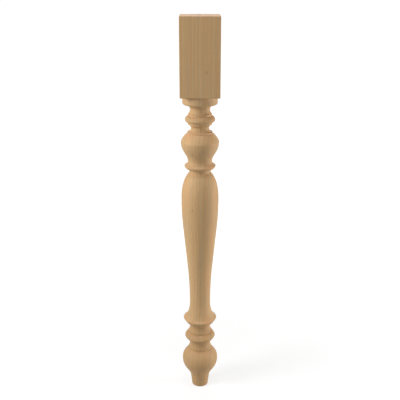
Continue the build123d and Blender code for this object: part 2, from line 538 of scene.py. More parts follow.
@dataclass(frozen=True)
class BeechFinish:
    """Bare beech, sanded and unoiled, cut so that its rings stand upright in the front."""

    name: str = "sanded_beech"
    straw: Colour = (0.700, 0.465, 0.228, 1.0)
    warm: Colour = (0.675, 0.390, 0.170, 1.0)
    grey: Colour = (0.585, 0.415, 0.232, 1.0)
    late_wood: Colour = (0.500, 0.295, 0.130, 1.0)
    ray: Colour = (0.400, 0.235, 0.100, 1.0)
    speck: Colour = (0.300, 0.165, 0.075, 1.0)
    # painted warm light, laid as patches on the sides of the bulges
    painted_warm_light: Colour = (0.735, 0.410, 0.180, 1.0)
    # painted light: the faces that face up or down are made lighter and whiter
    end_grain_painted_light: Colour = (1.120, 1.090, 1.250, 1.0)
    # darker towards the foot
    foot_darkening: Colour = (0.880, 0.855, 0.820, 1.0)
    foot_reach: tuple[float, float] = (0.115, 0.200)
    pores: Spindle = Spindle(0.0004, 0.0004, 0.005, 0.55)
    rays: Spindle = Spindle(0.0009, 0.006, 0.0026, 0.4)
    broad_streaks: Streak = Streak(0.007, 0.13)
    fine_streaks: Streak = Streak(0.0013, 0.034)
    hair_streaks: Streak = Streak(0.0003, 0.012)
    warm_bands: tuple[float, float] = (0.38, 0.62)
    warm_share: float = 0.8
    grey_streaks: tuple[float, float] = (0.4, 0.64)
    grey_share: float = 0.45
    late_share: float = 0.38
    ray_share: float = 0.42
    pore_share: float = 0.22
    shaded_streaks: tuple[float, float] = (0.25, 0.75)
    streak_shade: tuple[float, float] = (0.92, 1.08)
    rough_streaks: tuple[float, float] = (0.3, 0.7)
    roughness: tuple[float, float] = (0.58, 0.72)
    specular: float = 0.4
    ring_relief: float = 0.5
    hair_relief: float = 0.6
    pore_relief: float = -0.5
    bump_strength: float = 0.3
    bump_depth: float = 0.0002
    block_bottom: float = 0.594
    specks: tuple[SpeckOrLightPatch, ...] = (
        SpeckOrLightPatch(0.0112, 0.6380, 0.0027, 0.0044, 0.5),
        SpeckOrLightPatch(-0.0136, 0.4915, 0.0024, 0.0034, 0.5),
        SpeckOrLightPatch(-0.0140, 0.3875, 0.0024, 0.0040, 0.5),
    )
    # patches of painted warm light on the sides of the bulges, left and right of the front
    painted_warm_patches: tuple[SpeckOrLightPatch, ...] = (
        SpeckOrLightPatch(0.0220, 0.5560, 0.0080, 0.0150, 0.7),
        SpeckOrLightPatch(0.0225, 0.5120, 0.0080, 0.0260, 0.7),
        SpeckOrLightPatch(-0.0210, 0.5180, 0.0080, 0.0160, 0.6),
        SpeckOrLightPatch(0.0210, 0.4660, 0.0080, 0.0110, 0.7),
        SpeckOrLightPatch(0.0255, 0.4150, 0.0080, 0.0620, 0.7),
        SpeckOrLightPatch(-0.0230, 0.4200, 0.0080, 0.0500, 0.6),
        SpeckOrLightPatch(0.0215, 0.3300, 0.0080, 0.0700, 0.7),
        SpeckOrLightPatch(0.0140, 0.2350, 0.0080, 0.0600, 0.6),
        SpeckOrLightPatch(0.0140, 0.1550, 0.0100, 0.0400, 0.6),
    )

    def material(self) -> bpy.types.Material:
        """Build the material.

        Returns:
            The finished material.
        """
        material = bpy.data.materials.new(self.name)
        material.use_nodes = True
        sheet = Sheet(material.node_tree)
        shader = next(node for node in material.node_tree.nodes if node.type == "BSDF_PRINCIPLED")
        here = sheet.add("ShaderNodeTexCoord").outputs["Object"]
        trunk = sheet.place(TrunkGroup().build(), {"Vector": here})["Place"]
        spindles = SpindlesGroup().build()
        fibres = FibresGroup().build()
        pores = self.pores.place(sheet, spindles, trunk)
        rays = self.rays.place(sheet, spindles, trunk)
        broad = self.broad_streaks.place(sheet, fibres, trunk)
        fine = self.fine_streaks.place(sheet, fibres, trunk)
        hair = self.hair_streaks.place(sheet, fibres, trunk)
        colour = self.tint(sheet, sheet.place(RingsGroup().build(), {"Place": trunk}), broad, fine)
        colour = sheet.blend(sheet.math("MULTIPLY", rays, self.ray_share), colour, self.ray)
        colour = sheet.blend(sheet.math("MULTIPLY", pores, self.pore_share), colour, self.ray)
        # the patches of painted warm light, and then the natural specks
        colour = self.add_specks_and_light(sheet, here, colour, self.painted_warm_patches, self.painted_warm_light)
        colour = self.add_specks_and_light(sheet, here, colour, self.specks, self.speck)
        # darker towards the foot
        low = sheet.remap(sheet.split(here)[2], self.foot_reach, (1.0, 0.0), smooth=True)
        colour = sheet.blend(low, colour, self.foot_darkening, "MULTIPLY")
        # painted light: the faces that face up or down are made lighter and whiter
        ends = sheet.add("ShaderNodeAttribute", attribute_name=END_GRAIN_PAINTED_LIGHT).outputs["Fac"]
        colour = sheet.blend(ends, colour, self.end_grain_painted_light, "MULTIPLY")
        sheet.feed(shader.inputs["Base Color"], colour)
        sheet.feed(shader.inputs["Roughness"], sheet.remap(fine, self.rough_streaks, self.roughness))
        shader.inputs["Specular IOR Level"].default_value = self.specular
        sheet.feed(shader.inputs["Normal"], self.relief(sheet, here, hair, pores))
        return material

    def tint(self, sheet: Sheet, rings: Sockets, broad: NodeSocket, fine: NodeSocket) -> NodeSocket:
        """Mix the colours of the rings and the fibres.

        Args:
            sheet: The material's sheet.
            rings: The outputs of the placed rings.
            broad: The broad streaks.
            fine: The fine streaks.

        Returns:
            The socket with the colour.
        """
        warm = sheet.remap(rings["Band"], self.warm_bands, (0.0, self.warm_share), smooth=True)
        grey = sheet.remap(broad, self.grey_streaks, (0.0, self.grey_share), smooth=True)
        late = sheet.math("MULTIPLY", rings["Late Wood"], self.late_share)
        colour = sheet.blend(warm, self.straw, self.warm)
        colour = sheet.blend(grey, colour, self.grey)
        colour = sheet.blend(late, colour, self.late_wood)
        shade = sheet.remap(fine, self.shaded_streaks, self.streak_shade)
        return sheet.blend(1.0, colour, sheet.combine(shade, shade, shade), "MULTIPLY")

    def add_specks_and_light(self, sheet: Sheet, here: NodeSocket, colour: NodeSocket,
                   specks: tuple[SpeckOrLightPatch, ...], tone: Colour) -> NodeSocket:
        """Lay natural specks, or patches of painted warm light, over the colour.

        Args:
            sheet: The material's sheet.
            here: The place on the leg.
            colour: The colour under them.
            specks: Where the specks, or the patches of painted warm light, are.
            tone: The colour that they lay on.

        Returns:
            The socket with the colour.
        """
        tree = SpeckOrLightPatchGroup().build()
        for speck in specks:
            mask = sheet.place(tree, {"Vector": here, "Across": speck.across, "Height": speck.height,
                                      "Width": speck.width, "Length": speck.length})["Mask"]
            colour = sheet.blend(sheet.math("MULTIPLY", mask, speck.strength), colour, tone)
        return colour

    def relief(self, sheet: Sheet, here: NodeSocket, hair: NodeSocket, pores: NodeSocket) -> NodeSocket:
        """Make the fine relief of sanded wood.

        Args:
            sheet: The material's sheet.
            here: The place on the leg.
            hair: The finest streaks.
            pores: The mask of the pores.

        Returns:
            The socket with the normal.
        """
        lines = sheet.place(SandingGroup().build(), {"Vector": here, "Top": self.block_bottom})["Height"]
        height = sheet.math("MULTIPLY", hair, self.hair_relief)
        height = sheet.math("MULTIPLY_ADD", lines, self.ring_relief, height)
        height = sheet.math("MULTIPLY_ADD", pores, self.pore_relief, height)
        bump = sheet.add("ShaderNodeBump", {"Strength": self.bump_strength, "Distance": self.bump_depth,
                                            "Height": height})
        return bump.outputs["Normal"]


class Outline:
    """Half of the leg's outline, drawn up or down the leg from the axis.

    A point is a complex number: its real part is the radius and its imaginary part the height.
    A cut is the depth from the faces of the square stock in to the surface.
    """

    STOCK_HALF = 0.035
    TURN_STEP = math.radians(5.5)
    LONGEST_STEP = 0.006
    FEWEST_STEPS = 3

    def __init__(self, start: complex, direction: int) -> None:
        """Start an outline.

        Args:
            start: Its first point.
            direction: 1 to draw up the leg, -1 to draw down.
        """
        self.here = start
        self.direction = direction
        self.edges: list[list[complex]] = []

    def target(self, cut: float, length: float = 0.0) -> complex:
        """The point at a cut's radius that lies a length further along the leg."""
        return complex(self.STOCK_HALF - cut, self.here.imag + self.direction * length)

    def draw(self, points: list[complex]) -> None:
        """Add an edge and move on to its end."""
        self.edges.append(points)
        self.here = points[-1]

    def steps(self, turn: float, length: float) -> list[float]:
        """Give the places along a curve where it gets points.

        Args:
            turn: How far it turns, in radians.
            length: How long it is.

        Returns:
            The places, from 0 to 1.
        """
        by_turn = math.ceil(abs(turn) / self.TURN_STEP)
        by_length = math.ceil(length / self.LONGEST_STEP)
        count = max(self.FEWEST_STEPS, by_turn, by_length)
        return [number / count for number in range(count + 1)]

    def line(self, end: complex) -> None:
        """Draw a straight edge."""
        self.draw([self.here, end])

    def arc(self, end: complex, half_turn: float) -> None:
        """Draw a round arc.

        Args:
            end: Its end.
            half_turn: The angle between its start's direction and its chord.
        """
        start = self.here
        chord = end - start
        points = []
        for step in self.steps(2 * half_turn, abs(chord)):
            reach = math.sin(half_turn * step) / math.sin(half_turn)
            points.append(start + chord * cmath.rect(reach, half_turn * (step - 1.0)))
        self.draw(points)

    def curve(self, leave: complex, arrive: complex, end: complex) -> None:
        """Draw a smooth curve.

        Args:
            leave: The point that it leaves its start towards.
            arrive: The point that it comes to its end from.
            end: Its end.
        """
        start = self.here
        turn = abs(cmath.phase((arrive - leave) / (leave - start)))
        turn += abs(cmath.phase((end - arrive) / (arrive - leave)))
        points = []
        for step in self.steps(turn, abs(end - start)):
            rest = 1.0 - step
            near = start * rest ** 3 + 3 * leave * rest ** 2 * step
            points.append(near + 3 * arrive * rest * step ** 2 + end * step ** 3)
        self.draw(points)

    def straight(self, cut: float, length: float = 0.0) -> None:
        """Draw a straight cut, which is the level flat of a step where it has no length."""
        self.line(self.target(cut, length))

    def hollow(self, depth: float, cut: float, length: float, deepest_at: float = 0.5) -> None:
        """Draw a round hollow, sunk below the deeper of its two ends.

        Args:
            depth: How far it is sunk.
            cut: The cut at its end.
            length: Its length along the leg.
            deepest_at: Where along its length it passes that depth, as a share.
        """
        end = self.target(cut, length)
        deepest = self.here.imag + self.direction * length * deepest_at
        middle = complex(min(self.here.real, end.real) - depth, deepest)
        self.arc(end, cmath.phase((end - middle) / (middle - self.here)))

    def swell(self, cut: float, length: float, fullness: float, steepness: float = 0.0) -> None:
        """Draw from a crease out to a crown or in to a neck, where the outline runs upright.

        Args:
            cut: The cut at its end.
            length: Its length along the leg.
            fullness: How round it is.
            steepness: The slope that it leaves the crease at, where 1 is 45 degrees.
        """
        end = self.target(cut, length)
        reach = fullness * (end.real - self.here.real)
        leave = self.here + complex(reach, steepness * abs(reach) * self.direction)
        self.curve(leave, complex(end.real, end.imag - fullness * (end.imag - self.here.imag)), end)

    def turn_over(self, cut: float, length: float, fullness: float, steepness: float = 0.0) -> None:
        """Draw from a crown or a neck, where the outline runs upright, over to a crease.

        Args:
            cut: The cut at its end.
            length: Its length along the leg.
            fullness: How round it is.
            steepness: The slope that it comes to the crease at.
        """
        end = self.target(cut, length)
        reach = fullness * (self.here.real - end.real)
        arrive = end + complex(reach, -steepness * abs(reach) * self.direction)
        self.curve(self.here + fullness * complex(0.0, end.imag - self.here.imag), arrive, end)

    def ogee(self, end: complex, start_bend: float, end_bend: float, lean: float = 0.0) -> None:
        """Draw an S of two round bends with a straight slope between them, up to an upright end.

        Args:
            end: Its end.
            start_bend: The first bend, as a share of the S's height.
            end_bend: The last bend, as a share of the S's height.
            lean: How far its start leans outwards.
        """
        start = self.here
        span = end.imag - start.imag
        first_corner = start + complex(lean, 1.0) * start_bend * span
        last_corner = end - complex(0.0, 1.0) * end_bend * span
        slope = (last_corner - first_corner) / abs(last_corner - first_corner)
        slope_start = first_corner + slope * abs(first_corner - start)
        slope_end = last_corner - slope * abs(end - last_corner)
        self.arc(slope_start, cmath.phase((slope_start - start) / (first_corner - start)))
        self.line(slope_end)
        self.arc(end, cmath.phase((end - slope_end) / slope))

    def ring(self, cut: float, length: float) -> None:
        """Draw a narrow straight ring, stepped in or out from what comes before it."""
        self.straight(cut)
        self.straight(cut, length)


@dataclass(frozen=True)
class Sanding:
    """How far sandpaper has eased the corners of the outline."""

    crest_ease: float = 0.0004
    crease_ease: float = 0.00012
    smallest_turn: float = math.radians(9.0)
    crest_steps: int = 4
    crease_steps: int = 2
    most_of_edge: float = 0.3
    hold: float = 0.00018
    hold_room: float = 3.0

    @staticmethod
    def shorten(points: list[complex], length: float) -> list[complex]:
        """Take a length off the end of an edge.

        Args:
            points: The edge's points.
            length: How much is taken off.

        Returns:
            The points that are left, with a new end.
        """
        left = list(points)
        while len(left) > 2 and abs(left[-1] - left[-2]) <= length:
            length -= abs(left[-1] - left[-2])
            left.pop()
        way = left[-1] - left[-2]
        left[-1] -= way / abs(way) * length
        return left

    def hold_ends(self, points: list[complex]) -> list[complex]:
        """Add a point close to each end of an edge, so that its shading stays flat up to there.

        Args:
            points: The edge's points.

        Returns:
            The points with the added ones.
        """
        held = list(points)
        for _ in range(2):
            way = held[1] - held[0]
            if abs(way) > self.hold_room * self.hold:
                held.insert(1, held[0] + way / abs(way) * self.hold)
            held.reverse()
        return held

    def corner(self, edges: list[list[complex]], number: int) -> list[complex]:
        """Shorten the two edges of a corner, and make the points between them.

        Args:
            edges: All the edges, of which the corner's two are changed.
            number: The place of the corner's first edge.

        Returns:
            The points between the two edges, or none where they run on smoothly.
        """
        before, after = edges[number], edges[number + 1]
        tip = before[-1]
        turn = cmath.phase((after[1] - tip) / (tip - before[-2]))
        if abs(turn) < self.smallest_turn:
            return []
        wanted, steps = self.crease_ease, self.crease_steps
        if turn > 0:
            wanted, steps = self.crest_ease, self.crest_steps
        lengths = [sum(abs(b - a) for a, b in zip(edge, edge[1:])) for edge in (before, after)]
        reach = min(wanted, *(self.most_of_edge * length for length in lengths))
        edges[number] = self.shorten(before, reach)
        edges[number + 1] = self.shorten(after[::-1], reach)[::-1]
        start, end = edges[number][-1], edges[number + 1][0]
        points = []
        for step in range(1, steps):
            share = step / steps
            points.append(start * (1 - share) ** 2 + 2 * tip * share * (1 - share) + end * share ** 2)
        return points

    def ease(self, edges: list[list[complex]]) -> list[complex]:
        """Join the edges, with their corners eased.

        Args:
            edges: The edges up the leg, each from the last one's end.

        Returns:
            The points of the whole outline.
        """
        edges = [list(edge) for edge in edges]
        corners = [self.corner(edges, number) for number in range(len(edges) - 1)]
        outline = self.hold_ends(edges[0])
        for edge, corner in zip(edges[1:], corners):
            outline.extend(corner)
            held = self.hold_ends(edge)
            outline.extend(held if corner else held[1:])
        return outline


@dataclass(frozen=True)
class Foot:
    """The tapered peg with its bevelled tip, the ball, and the ring on top of the ball."""

    centre_mark_radius: float = 0.0025
    centre_mark_depth: float = 0.0035
    tip_cut: float = 0.019
    tip_bevel: float = 0.0004
    peg_top_cut: float = 0.017
    peg_length: float = 0.0181
    crown_cut: float = 0.0001
    swell_length: float = 0.0431
    bends: tuple[float, float] = (0.2, 0.23)
    top_cut: float = 0.0124
    top_length: float = 0.0227
    fullness: float = 0.52
    top_steepness: float = 1.0
    ring_step: float = 0.0003
    ring_length: float = 0.0043

    def draw(self, outline: Outline) -> None:
        """Draw the foot upwards.

        Args:
            outline: The outline, which stands at the tip of the centre mark in the underside.
        """
        lean = (self.tip_cut - self.peg_top_cut) / self.peg_length
        outline.line(complex(self.centre_mark_radius, 0.0))
        outline.straight(self.tip_cut + self.tip_bevel)
        outline.straight(self.tip_cut, self.tip_bevel)
        outline.straight(self.peg_top_cut, self.peg_length - self.tip_bevel)
        outline.ogee(outline.target(self.crown_cut, self.swell_length), *self.bends, lean)
        outline.turn_over(self.top_cut, self.top_length, self.fullness, self.top_steepness)
        outline.ring(self.top_cut + self.ring_step, self.ring_length)


@dataclass(frozen=True)
class Ankle:
    """A hollow, the ankle bead with its ring, and the hollow under the lower collar."""

    low_hollow_depth: float = 0.002
    low_hollow_length: float = 0.0171
    bead_low_cut: float = 0.011
    bead_crown_cut: float = 0.0054
    bead_low_length: float = 0.0079
    bead_top_cut: float = 0.0121
    bead_top_length: float = 0.0082
    bead_fullness: float = 0.2
    ring_step: float = 0.0006
    ring_length: float = 0.004
    high_hollow_depth: float = 0.0024
    high_hollow_length: float = 0.0191

    def draw(self, outline: Outline, collar_low_cut: float) -> None:
        """Draw the ankle upwards.

        Args:
            outline: The outline, which stands on top of the foot's ring.
            collar_low_cut: The cut of the crease under the lower collar.
        """
        outline.hollow(self.low_hollow_depth, self.bead_low_cut, self.low_hollow_length)
        outline.swell(self.bead_crown_cut, self.bead_low_length, self.bead_fullness)
        outline.turn_over(self.bead_top_cut, self.bead_top_length, self.bead_fullness)
        outline.ring(self.bead_top_cut + self.ring_step, self.ring_length)
        outline.hollow(self.high_hollow_depth, collar_low_cut, self.high_hollow_length)


@dataclass(frozen=True)
class LowerCollar:
    """The nosed collar at the foot of the body, and its flare in to the body's neck."""

    low_cut: float = 0.0082
    low_length: float = 0.0084
    nose_cut: float = 0.0027
    nose_depth: float = 0.0028
    nose_length: float = 0.0024
    flare_length: float = 0.0305
    flare_fullness: float = 0.44

    def draw(self, outline: Outline, neck_cut: float) -> None:
        """Draw the collar upwards.

        Args:
            outline: The outline, which stands in the crease under the collar.
            neck_cut: The cut of the body's neck.
        """
        outline.straight(self.nose_cut, self.low_length)
        outline.straight(self.nose_cut + self.nose_depth, self.nose_length)
        outline.swell(neck_cut, self.flare_length, self.flare_fullness)


@dataclass(frozen=True)
class Body:
    """The long body: slim at the ankle, swelling to its widest near the top."""

    neck_cut: float = 0.0152
    crown_cut: float = 0.0004
    bends: tuple[float, float] = (0.19, 0.133)
    shoulder_cut: float = 0.0153
    shoulder_length: float = 0.0527
    shoulder_fullness: float = 0.56
    shoulder_steepness: float = 1.1

    def draw_shoulder(self, outline: Outline) -> None:
        """Draw the round shoulder of the body downwards, to its widest place."""
        outline.swell(self.crown_cut, self.shoulder_length, self.shoulder_fullness, self.shoulder_steepness)

    def join(self, lower: Outline, upper: Outline) -> None:
        """Draw the body from the neck of the lower outline to the crown of the upper one."""
        lower.ogee(upper.here, *self.bends)


@dataclass(frozen=True)
class Vase:
    """The vase under its ring, the upper collar that it stands on, and the groove below."""

    top_cut: float = 0.012
    ring_step: float = 0.0002
    ring_length: float = 0.0031
    crown_cut: float = 0.0004
    top_length: float = 0.0156
    fullness: float = 0.27
    neck_cut: float = 0.0129
    swell_length: float = 0.0362
    bends: tuple[float, float] = (0.27, 0.15)
    collar_nose_cut: float = 0.0064
    collar_nose_depth: float = 0.0015
    collar_nose_length: float = 0.0014
    flare_length: float = 0.0064
    flare_fullness: float = 0.39
    collar_low_cut: float = 0.0126
    collar_low_length: float = 0.0065
    collar_fullness: float = 0.46
    groove_length: float = 0.0064

    def draw(self, outline: Outline, groove_cut: float) -> None:
        """Draw the vase and the upper collar downwards.

        Args:
            outline: The outline, which stands at the end of the hollow above the vase's ring.
            groove_cut: The cut of the groove between the collar and the body.
        """
        outline.ring(self.top_cut + self.ring_step, self.ring_length)
        outline.straight(self.top_cut)
        outline.swell(self.crown_cut, self.top_length, self.fullness)
        outline.ogee(outline.target(self.neck_cut, self.swell_length), *self.bends)
        flare_cut = self.collar_nose_cut + self.collar_nose_depth
        outline.turn_over(flare_cut, self.flare_length, self.flare_fullness)
        outline.straight(self.collar_nose_cut, self.collar_nose_length)
        outline.turn_over(self.collar_low_cut, self.collar_low_length, self.collar_fullness)
        outline.ring(groove_cut, self.groove_length)


@dataclass(frozen=True)
class Neck:
    """The neck bead between its two rings, and the hollow above the vase."""

    top_ring_step: float = 0.0005
    top_ring_length: float = 0.0037
    bead_top_cut: float = 0.0131
    bead_crown_cut: float = 0.0078
    bead_top_length: float = 0.0066
    bead_low_cut: float = 0.0123
    bead_low_length: float = 0.005
    bead_fullness: float = 0.46
    low_ring_step: float = 0.001
    low_ring_length: float = 0.0038
    hollow_depth: float = 0.0052
    hollow_length: float = 0.0134
    ledge: float = 0.0012

    def draw(self, outline: Outline, vase_ring_cut: float) -> None:
        """Draw the neck downwards.

        Args:
            outline: The outline, which stands at the end of the hollow under the shoulder.
            vase_ring_cut: The cut of the ring on top of the vase.
        """
        outline.straight(self.bead_top_cut + self.top_ring_step, self.top_ring_length)
        outline.straight(self.bead_top_cut)
        outline.swell(self.bead_crown_cut, self.bead_top_length, self.bead_fullness)
        outline.turn_over(self.bead_low_cut, self.bead_low_length, self.bead_fullness)
        outline.ring(self.bead_low_cut + self.low_ring_step, self.low_ring_length)
        outline.hollow(self.hollow_depth, vase_ring_cut + self.ledge, self.hollow_length)


@dataclass(frozen=True)
class Shoulder:
    """The round disc right below the block, with a rounded lip, and the hollow under it."""

    cut: float = 0.0034
    length: float = 0.016
    lip_depth: float = 0.0024
    lip_length: float = 0.0035
    lip_fullness: float = 0.37
    ledge: float = 0.0014
    hollow_depth: float = 0.0034
    hollow_length: float = 0.017
    hollow_deepest: float = 0.62

    def draw(self, outline: Outline, neck_ring_cut: float) -> None:
        """Draw the shoulder downwards.

        Args:
            outline: The outline, which stands on the underside of the block.
            neck_ring_cut: The cut of the ring above the neck bead.
        """
        lip_cut = self.cut + self.lip_depth
        outline.ring(self.cut, self.length - self.lip_length)
        outline.turn_over(lip_cut, self.lip_length, self.lip_fullness)
        outline.straight(lip_cut + self.ledge)
        outline.hollow(self.hollow_depth, neck_ring_cut, self.hollow_length, self.hollow_deepest)


@dataclass(frozen=True)
class Block:
    """The square top of the leg, with sanded edges and the marks of the lathe's driving centre."""

    half_width: float = 0.035
    bottom: float = 0.594
    top: float = 0.730
    arris: float = 0.0005
    arris_steps: int = 5
    hold: float = 0.0003
    mark_radius: float = 0.0025
    mark_depth: float = 0.0035
    spur_count: int = 4
    spur_reach: float = 0.011
    spur_width: float = 0.0018
    spur_depth: float = 0.0016

    def flat_edge(self, height: float) -> complex:
        """The edge of the flat of an end, just inside its rounded arris."""
        return complex(self.half_width - self.arris - self.hold, height)

    def rounded(self, height: float, way: int) -> list[complex]:
        """Make the rounded arris between an end of the block and its sides.

        Args:
            height: The height of that end.
            way: 1 where the block goes up from there, -1 where it goes down.

        Returns:
            The points from the end in to the sides, as half width and height.
        """
        points = [self.flat_edge(height)]
        for step in range(self.arris_steps + 1):
            angle = math.pi / 2 * step / self.arris_steps
            out = self.half_width - self.arris * (1.0 - math.sin(angle))
            points.append(complex(out, height + way * self.arris * (1.0 - math.cos(angle))))
        points.append(complex(self.half_width, height + way * (self.arris + self.hold)))
        return points

    def square_points(self) -> list[complex]:
        """The points of the square stretch, from the edge of its underside to the edge of its top."""
        return self.rounded(self.bottom, 1) + self.rounded(self.top, -1)[::-1]


@dataclass(frozen=True)
class Lathe:
    """The Geometry Nodes tree that turns outline points into the leg's closed surface.

    Every point of the outline becomes a row. The rows are round, or square with rounded
    corners, and their columns stand at the same angles, close together on the arrises.
    """

    side_columns: int = 18
    arris_columns: int = 8
    held_columns: float = 2.0
    merge: float = 0.000001
    sharp_angle: float = math.radians(42.0)
    level_from: float = 0.9995
    # where the painted light on the faces that face up or down begins
    end_grain_painted_light_from: float = 0.55

    def tree(self) -> bpy.types.NodeTree:
        """Build the tree.

        Returns:
            A tree that makes the leg from the outline's points.
        """
        sheet, given, result = Sheet.group("lathe", "GeometryNodeTree", [
            Knob("Outline", Socket.SHAPE),
            Knob("Side Columns", Socket.WHOLE, self.side_columns),
            Knob("Arris Columns", Socket.WHOLE, self.arris_columns),
            Knob("Half Width", Socket.NUMBER),
            Knob("Arris", Socket.NUMBER),
            Knob("Top", Socket.NUMBER),
            Knob("Spur Count", Socket.WHOLE),
            Knob("Spur Reach", Socket.NUMBER),
            Knob("Spur Width", Socket.NUMBER),
            Knob("Spur Depth", Socket.NUMBER),
            Knob("Finish", Socket.FINISH),
        ], [Knob("Leg", Socket.SHAPE)])
        skin = self.skin(sheet, given)
        closed = sheet.add("GeometryNodeMergeByDistance", {"Geometry": skin, "Distance": self.merge})
        cut = sheet.add("GeometryNodeMeshBoolean", {"Mesh 1": closed.outputs[0]},
                        operation="DIFFERENCE", solver="EXACT")
        sheet.feed(cut.inputs["Mesh 2"], self.spurs(sheet, given))
        shape = self.shading(sheet, cut.outputs["Mesh"])
        real = sheet.add("GeometryNodeRealizeInstances", {"Geometry": shape}).outputs[0]
        dressed = sheet.add("GeometryNodeSetMaterial", {"Geometry": real, "Material": given["Finish"]})
        sheet.feed(result.inputs["Leg"], dressed.outputs[0])
        return sheet.tree

    def skin(self, sheet: Sheet, given: Sockets) -> NodeSocket:
        """Lay a grid of rows and columns round the axis.

        Args:
            sheet: The tree's sheet.
            given: The tree's inputs.

        Returns:
            The socket with the surface, open at its seam.
        """
        counts = sheet.add("GeometryNodeAttributeDomainSize", {"Geometry": given["Outline"]},
                           component="MESH")
        quarter = sheet.math("MULTIPLY_ADD", given["Side Columns"], 2.0, given["Arris Columns"])
        columns = sheet.math("MULTIPLY_ADD", quarter, 4.0, 1.0)
        grid = sheet.add("GeometryNodeMeshGrid", {"Size X": 1.0, "Size Y": 1.0, "Vertices Y": columns,
                                                  "Vertices X": counts.outputs["Point Count"]})
        index = sheet.add("GeometryNodeInputIndex").outputs[0]
        row, column = sheet.whole_and_rest(index, columns)
        position = sheet.add("GeometryNodeInputPosition").outputs[0]
        marked = sheet.add("GeometryNodeInputNamedAttribute", {"Name": SQUARE}, data_type="FLOAT")
        point = self.read_row(sheet, given["Outline"], row, position, "FLOAT_VECTOR")
        square = self.read_row(sheet, given["Outline"], row, marked.outputs[0], "FLOAT")
        out, _, height = sheet.split(point)
        angle = self.column_angle(sheet, given, column, quarter)
        reach = self.row_reach(sheet, given, out, square, angle)
        x = sheet.math("MULTIPLY", reach, sheet.math("COSINE", angle))
        y = sheet.math("MULTIPLY", reach, sheet.math("SINE", angle))
        spot = sheet.combine(x, y, height)
        moved = sheet.add("GeometryNodeSetPosition", {"Geometry": grid.outputs["Mesh"], "Position": spot})
        return moved.outputs[0]

    @staticmethod
    def read_row(sheet: Sheet, outline: NodeSocket, row: NodeSocket,
                 value: NodeSocket, kind: str) -> NodeSocket:
        """Read a value at the point of the outline that a row is made from.

        Args:
            sheet: The tree's sheet.
            outline: The outline's points.
            row: The row's number.
            value: What is read.
            kind: The name of its data type.

        Returns:
            The socket with the value.
        """
        inputs = {"Geometry": outline, "Index": row, "Value": value}
        return sheet.add("GeometryNodeSampleIndex", inputs, data_type=kind, domain="POINT").outputs[0]

    def column_angle(self, sheet: Sheet, given: Sockets,
                     column: NodeSocket, quarter: NodeSocket) -> NodeSocket:
        """Work out the angle of a column, with the columns drawn together on the arrises.

        Args:
            sheet: The tree's sheet.
            given: The tree's inputs.
            column: The column's number.
            quarter: How many columns a quarter turn has.

        Returns:
            The socket with the angle in radians.
        """
        turns, step = sheet.whole_and_rest(column, quarter)
        flat = sheet.math("SUBTRACT", given["Half Width"], given["Arris"])
        arris_angle = sheet.math("SUBTRACT", math.pi / 4, sheet.math("ARCTAN2", flat, given["Half Width"]))
        round_columns = sheet.math("SUBTRACT", given["Arris Columns"], self.held_columns)
        held = sheet.math("DIVIDE", given["Arris Columns"], round_columns)
        arris_half = sheet.math("MULTIPLY", arris_angle, held)
        side_angle = sheet.math("SUBTRACT", math.pi / 4, arris_half)
        arris_start = given["Side Columns"]
        arris_end = sheet.math("ADD", arris_start, given["Arris Columns"])
        first = sheet.remap(step, (0.0, arris_start), (0.0, side_angle))
        middle = sheet.remap(step, (arris_start, arris_end), (0.0, sheet.math("MULTIPLY", arris_half, 2.0)))
        last = sheet.remap(step, (arris_end, quarter), (0.0, side_angle))
        part = sheet.math("ADD", sheet.math("ADD", first, middle), last)
        return sheet.math("MULTIPLY_ADD", turns, math.pi / 2, part)

    def row_reach(self, sheet: Sheet, given: Sockets, out: NodeSocket,
                  square: NodeSocket, angle: NodeSocket) -> NodeSocket:
        """Work out how far the surface is from the axis in a row, at an angle.

        Args:
            sheet: The tree's sheet.
            given: The tree's inputs.
            out: The row's radius, or its half width where it is square.
            square: 1 where the row is square.
            angle: The column's angle.

        Returns:
            The socket with the distance.
        """
        across = sheet.math("ABSOLUTE", sheet.math("COSINE", angle))
        along = sheet.math("ABSOLUTE", sheet.math("SINE", angle))
        larger = sheet.math("MAXIMUM", across, along)
        smaller = sheet.math("MINIMUM", across, along)
        inset = sheet.math("SUBTRACT", given["Half Width"], out)
        corner = sheet.math("MAXIMUM", sheet.math("SUBTRACT", given["Arris"], inset), 0.0)
        flat = sheet.math("SUBTRACT", out, corner)
        to_side = sheet.math("DIVIDE", out, larger)
        ahead = sheet.math("MULTIPLY", flat, sheet.math("ADD", larger, smaller))
        aside = sheet.math("MULTIPLY", flat, sheet.math("SUBTRACT", larger, smaller))
        left = sheet.math("SUBTRACT", sheet.math("MULTIPLY", corner, corner),
                          sheet.math("MULTIPLY", aside, aside))
        to_corner = sheet.math("ADD", ahead, sheet.math("SQRT", sheet.math("MAXIMUM", left, 0.0)))
        on_side = sheet.math("LESS_THAN", sheet.math("MULTIPLY", to_side, smaller), flat)
        box = sheet.add("GeometryNodeSwitch", {"Switch": on_side, "False": to_corner, "True": to_side},
                        input_type="FLOAT").outputs[0]
        return sheet.math("MULTIPLY_ADD", sheet.math("SUBTRACT", box, out), square, out)

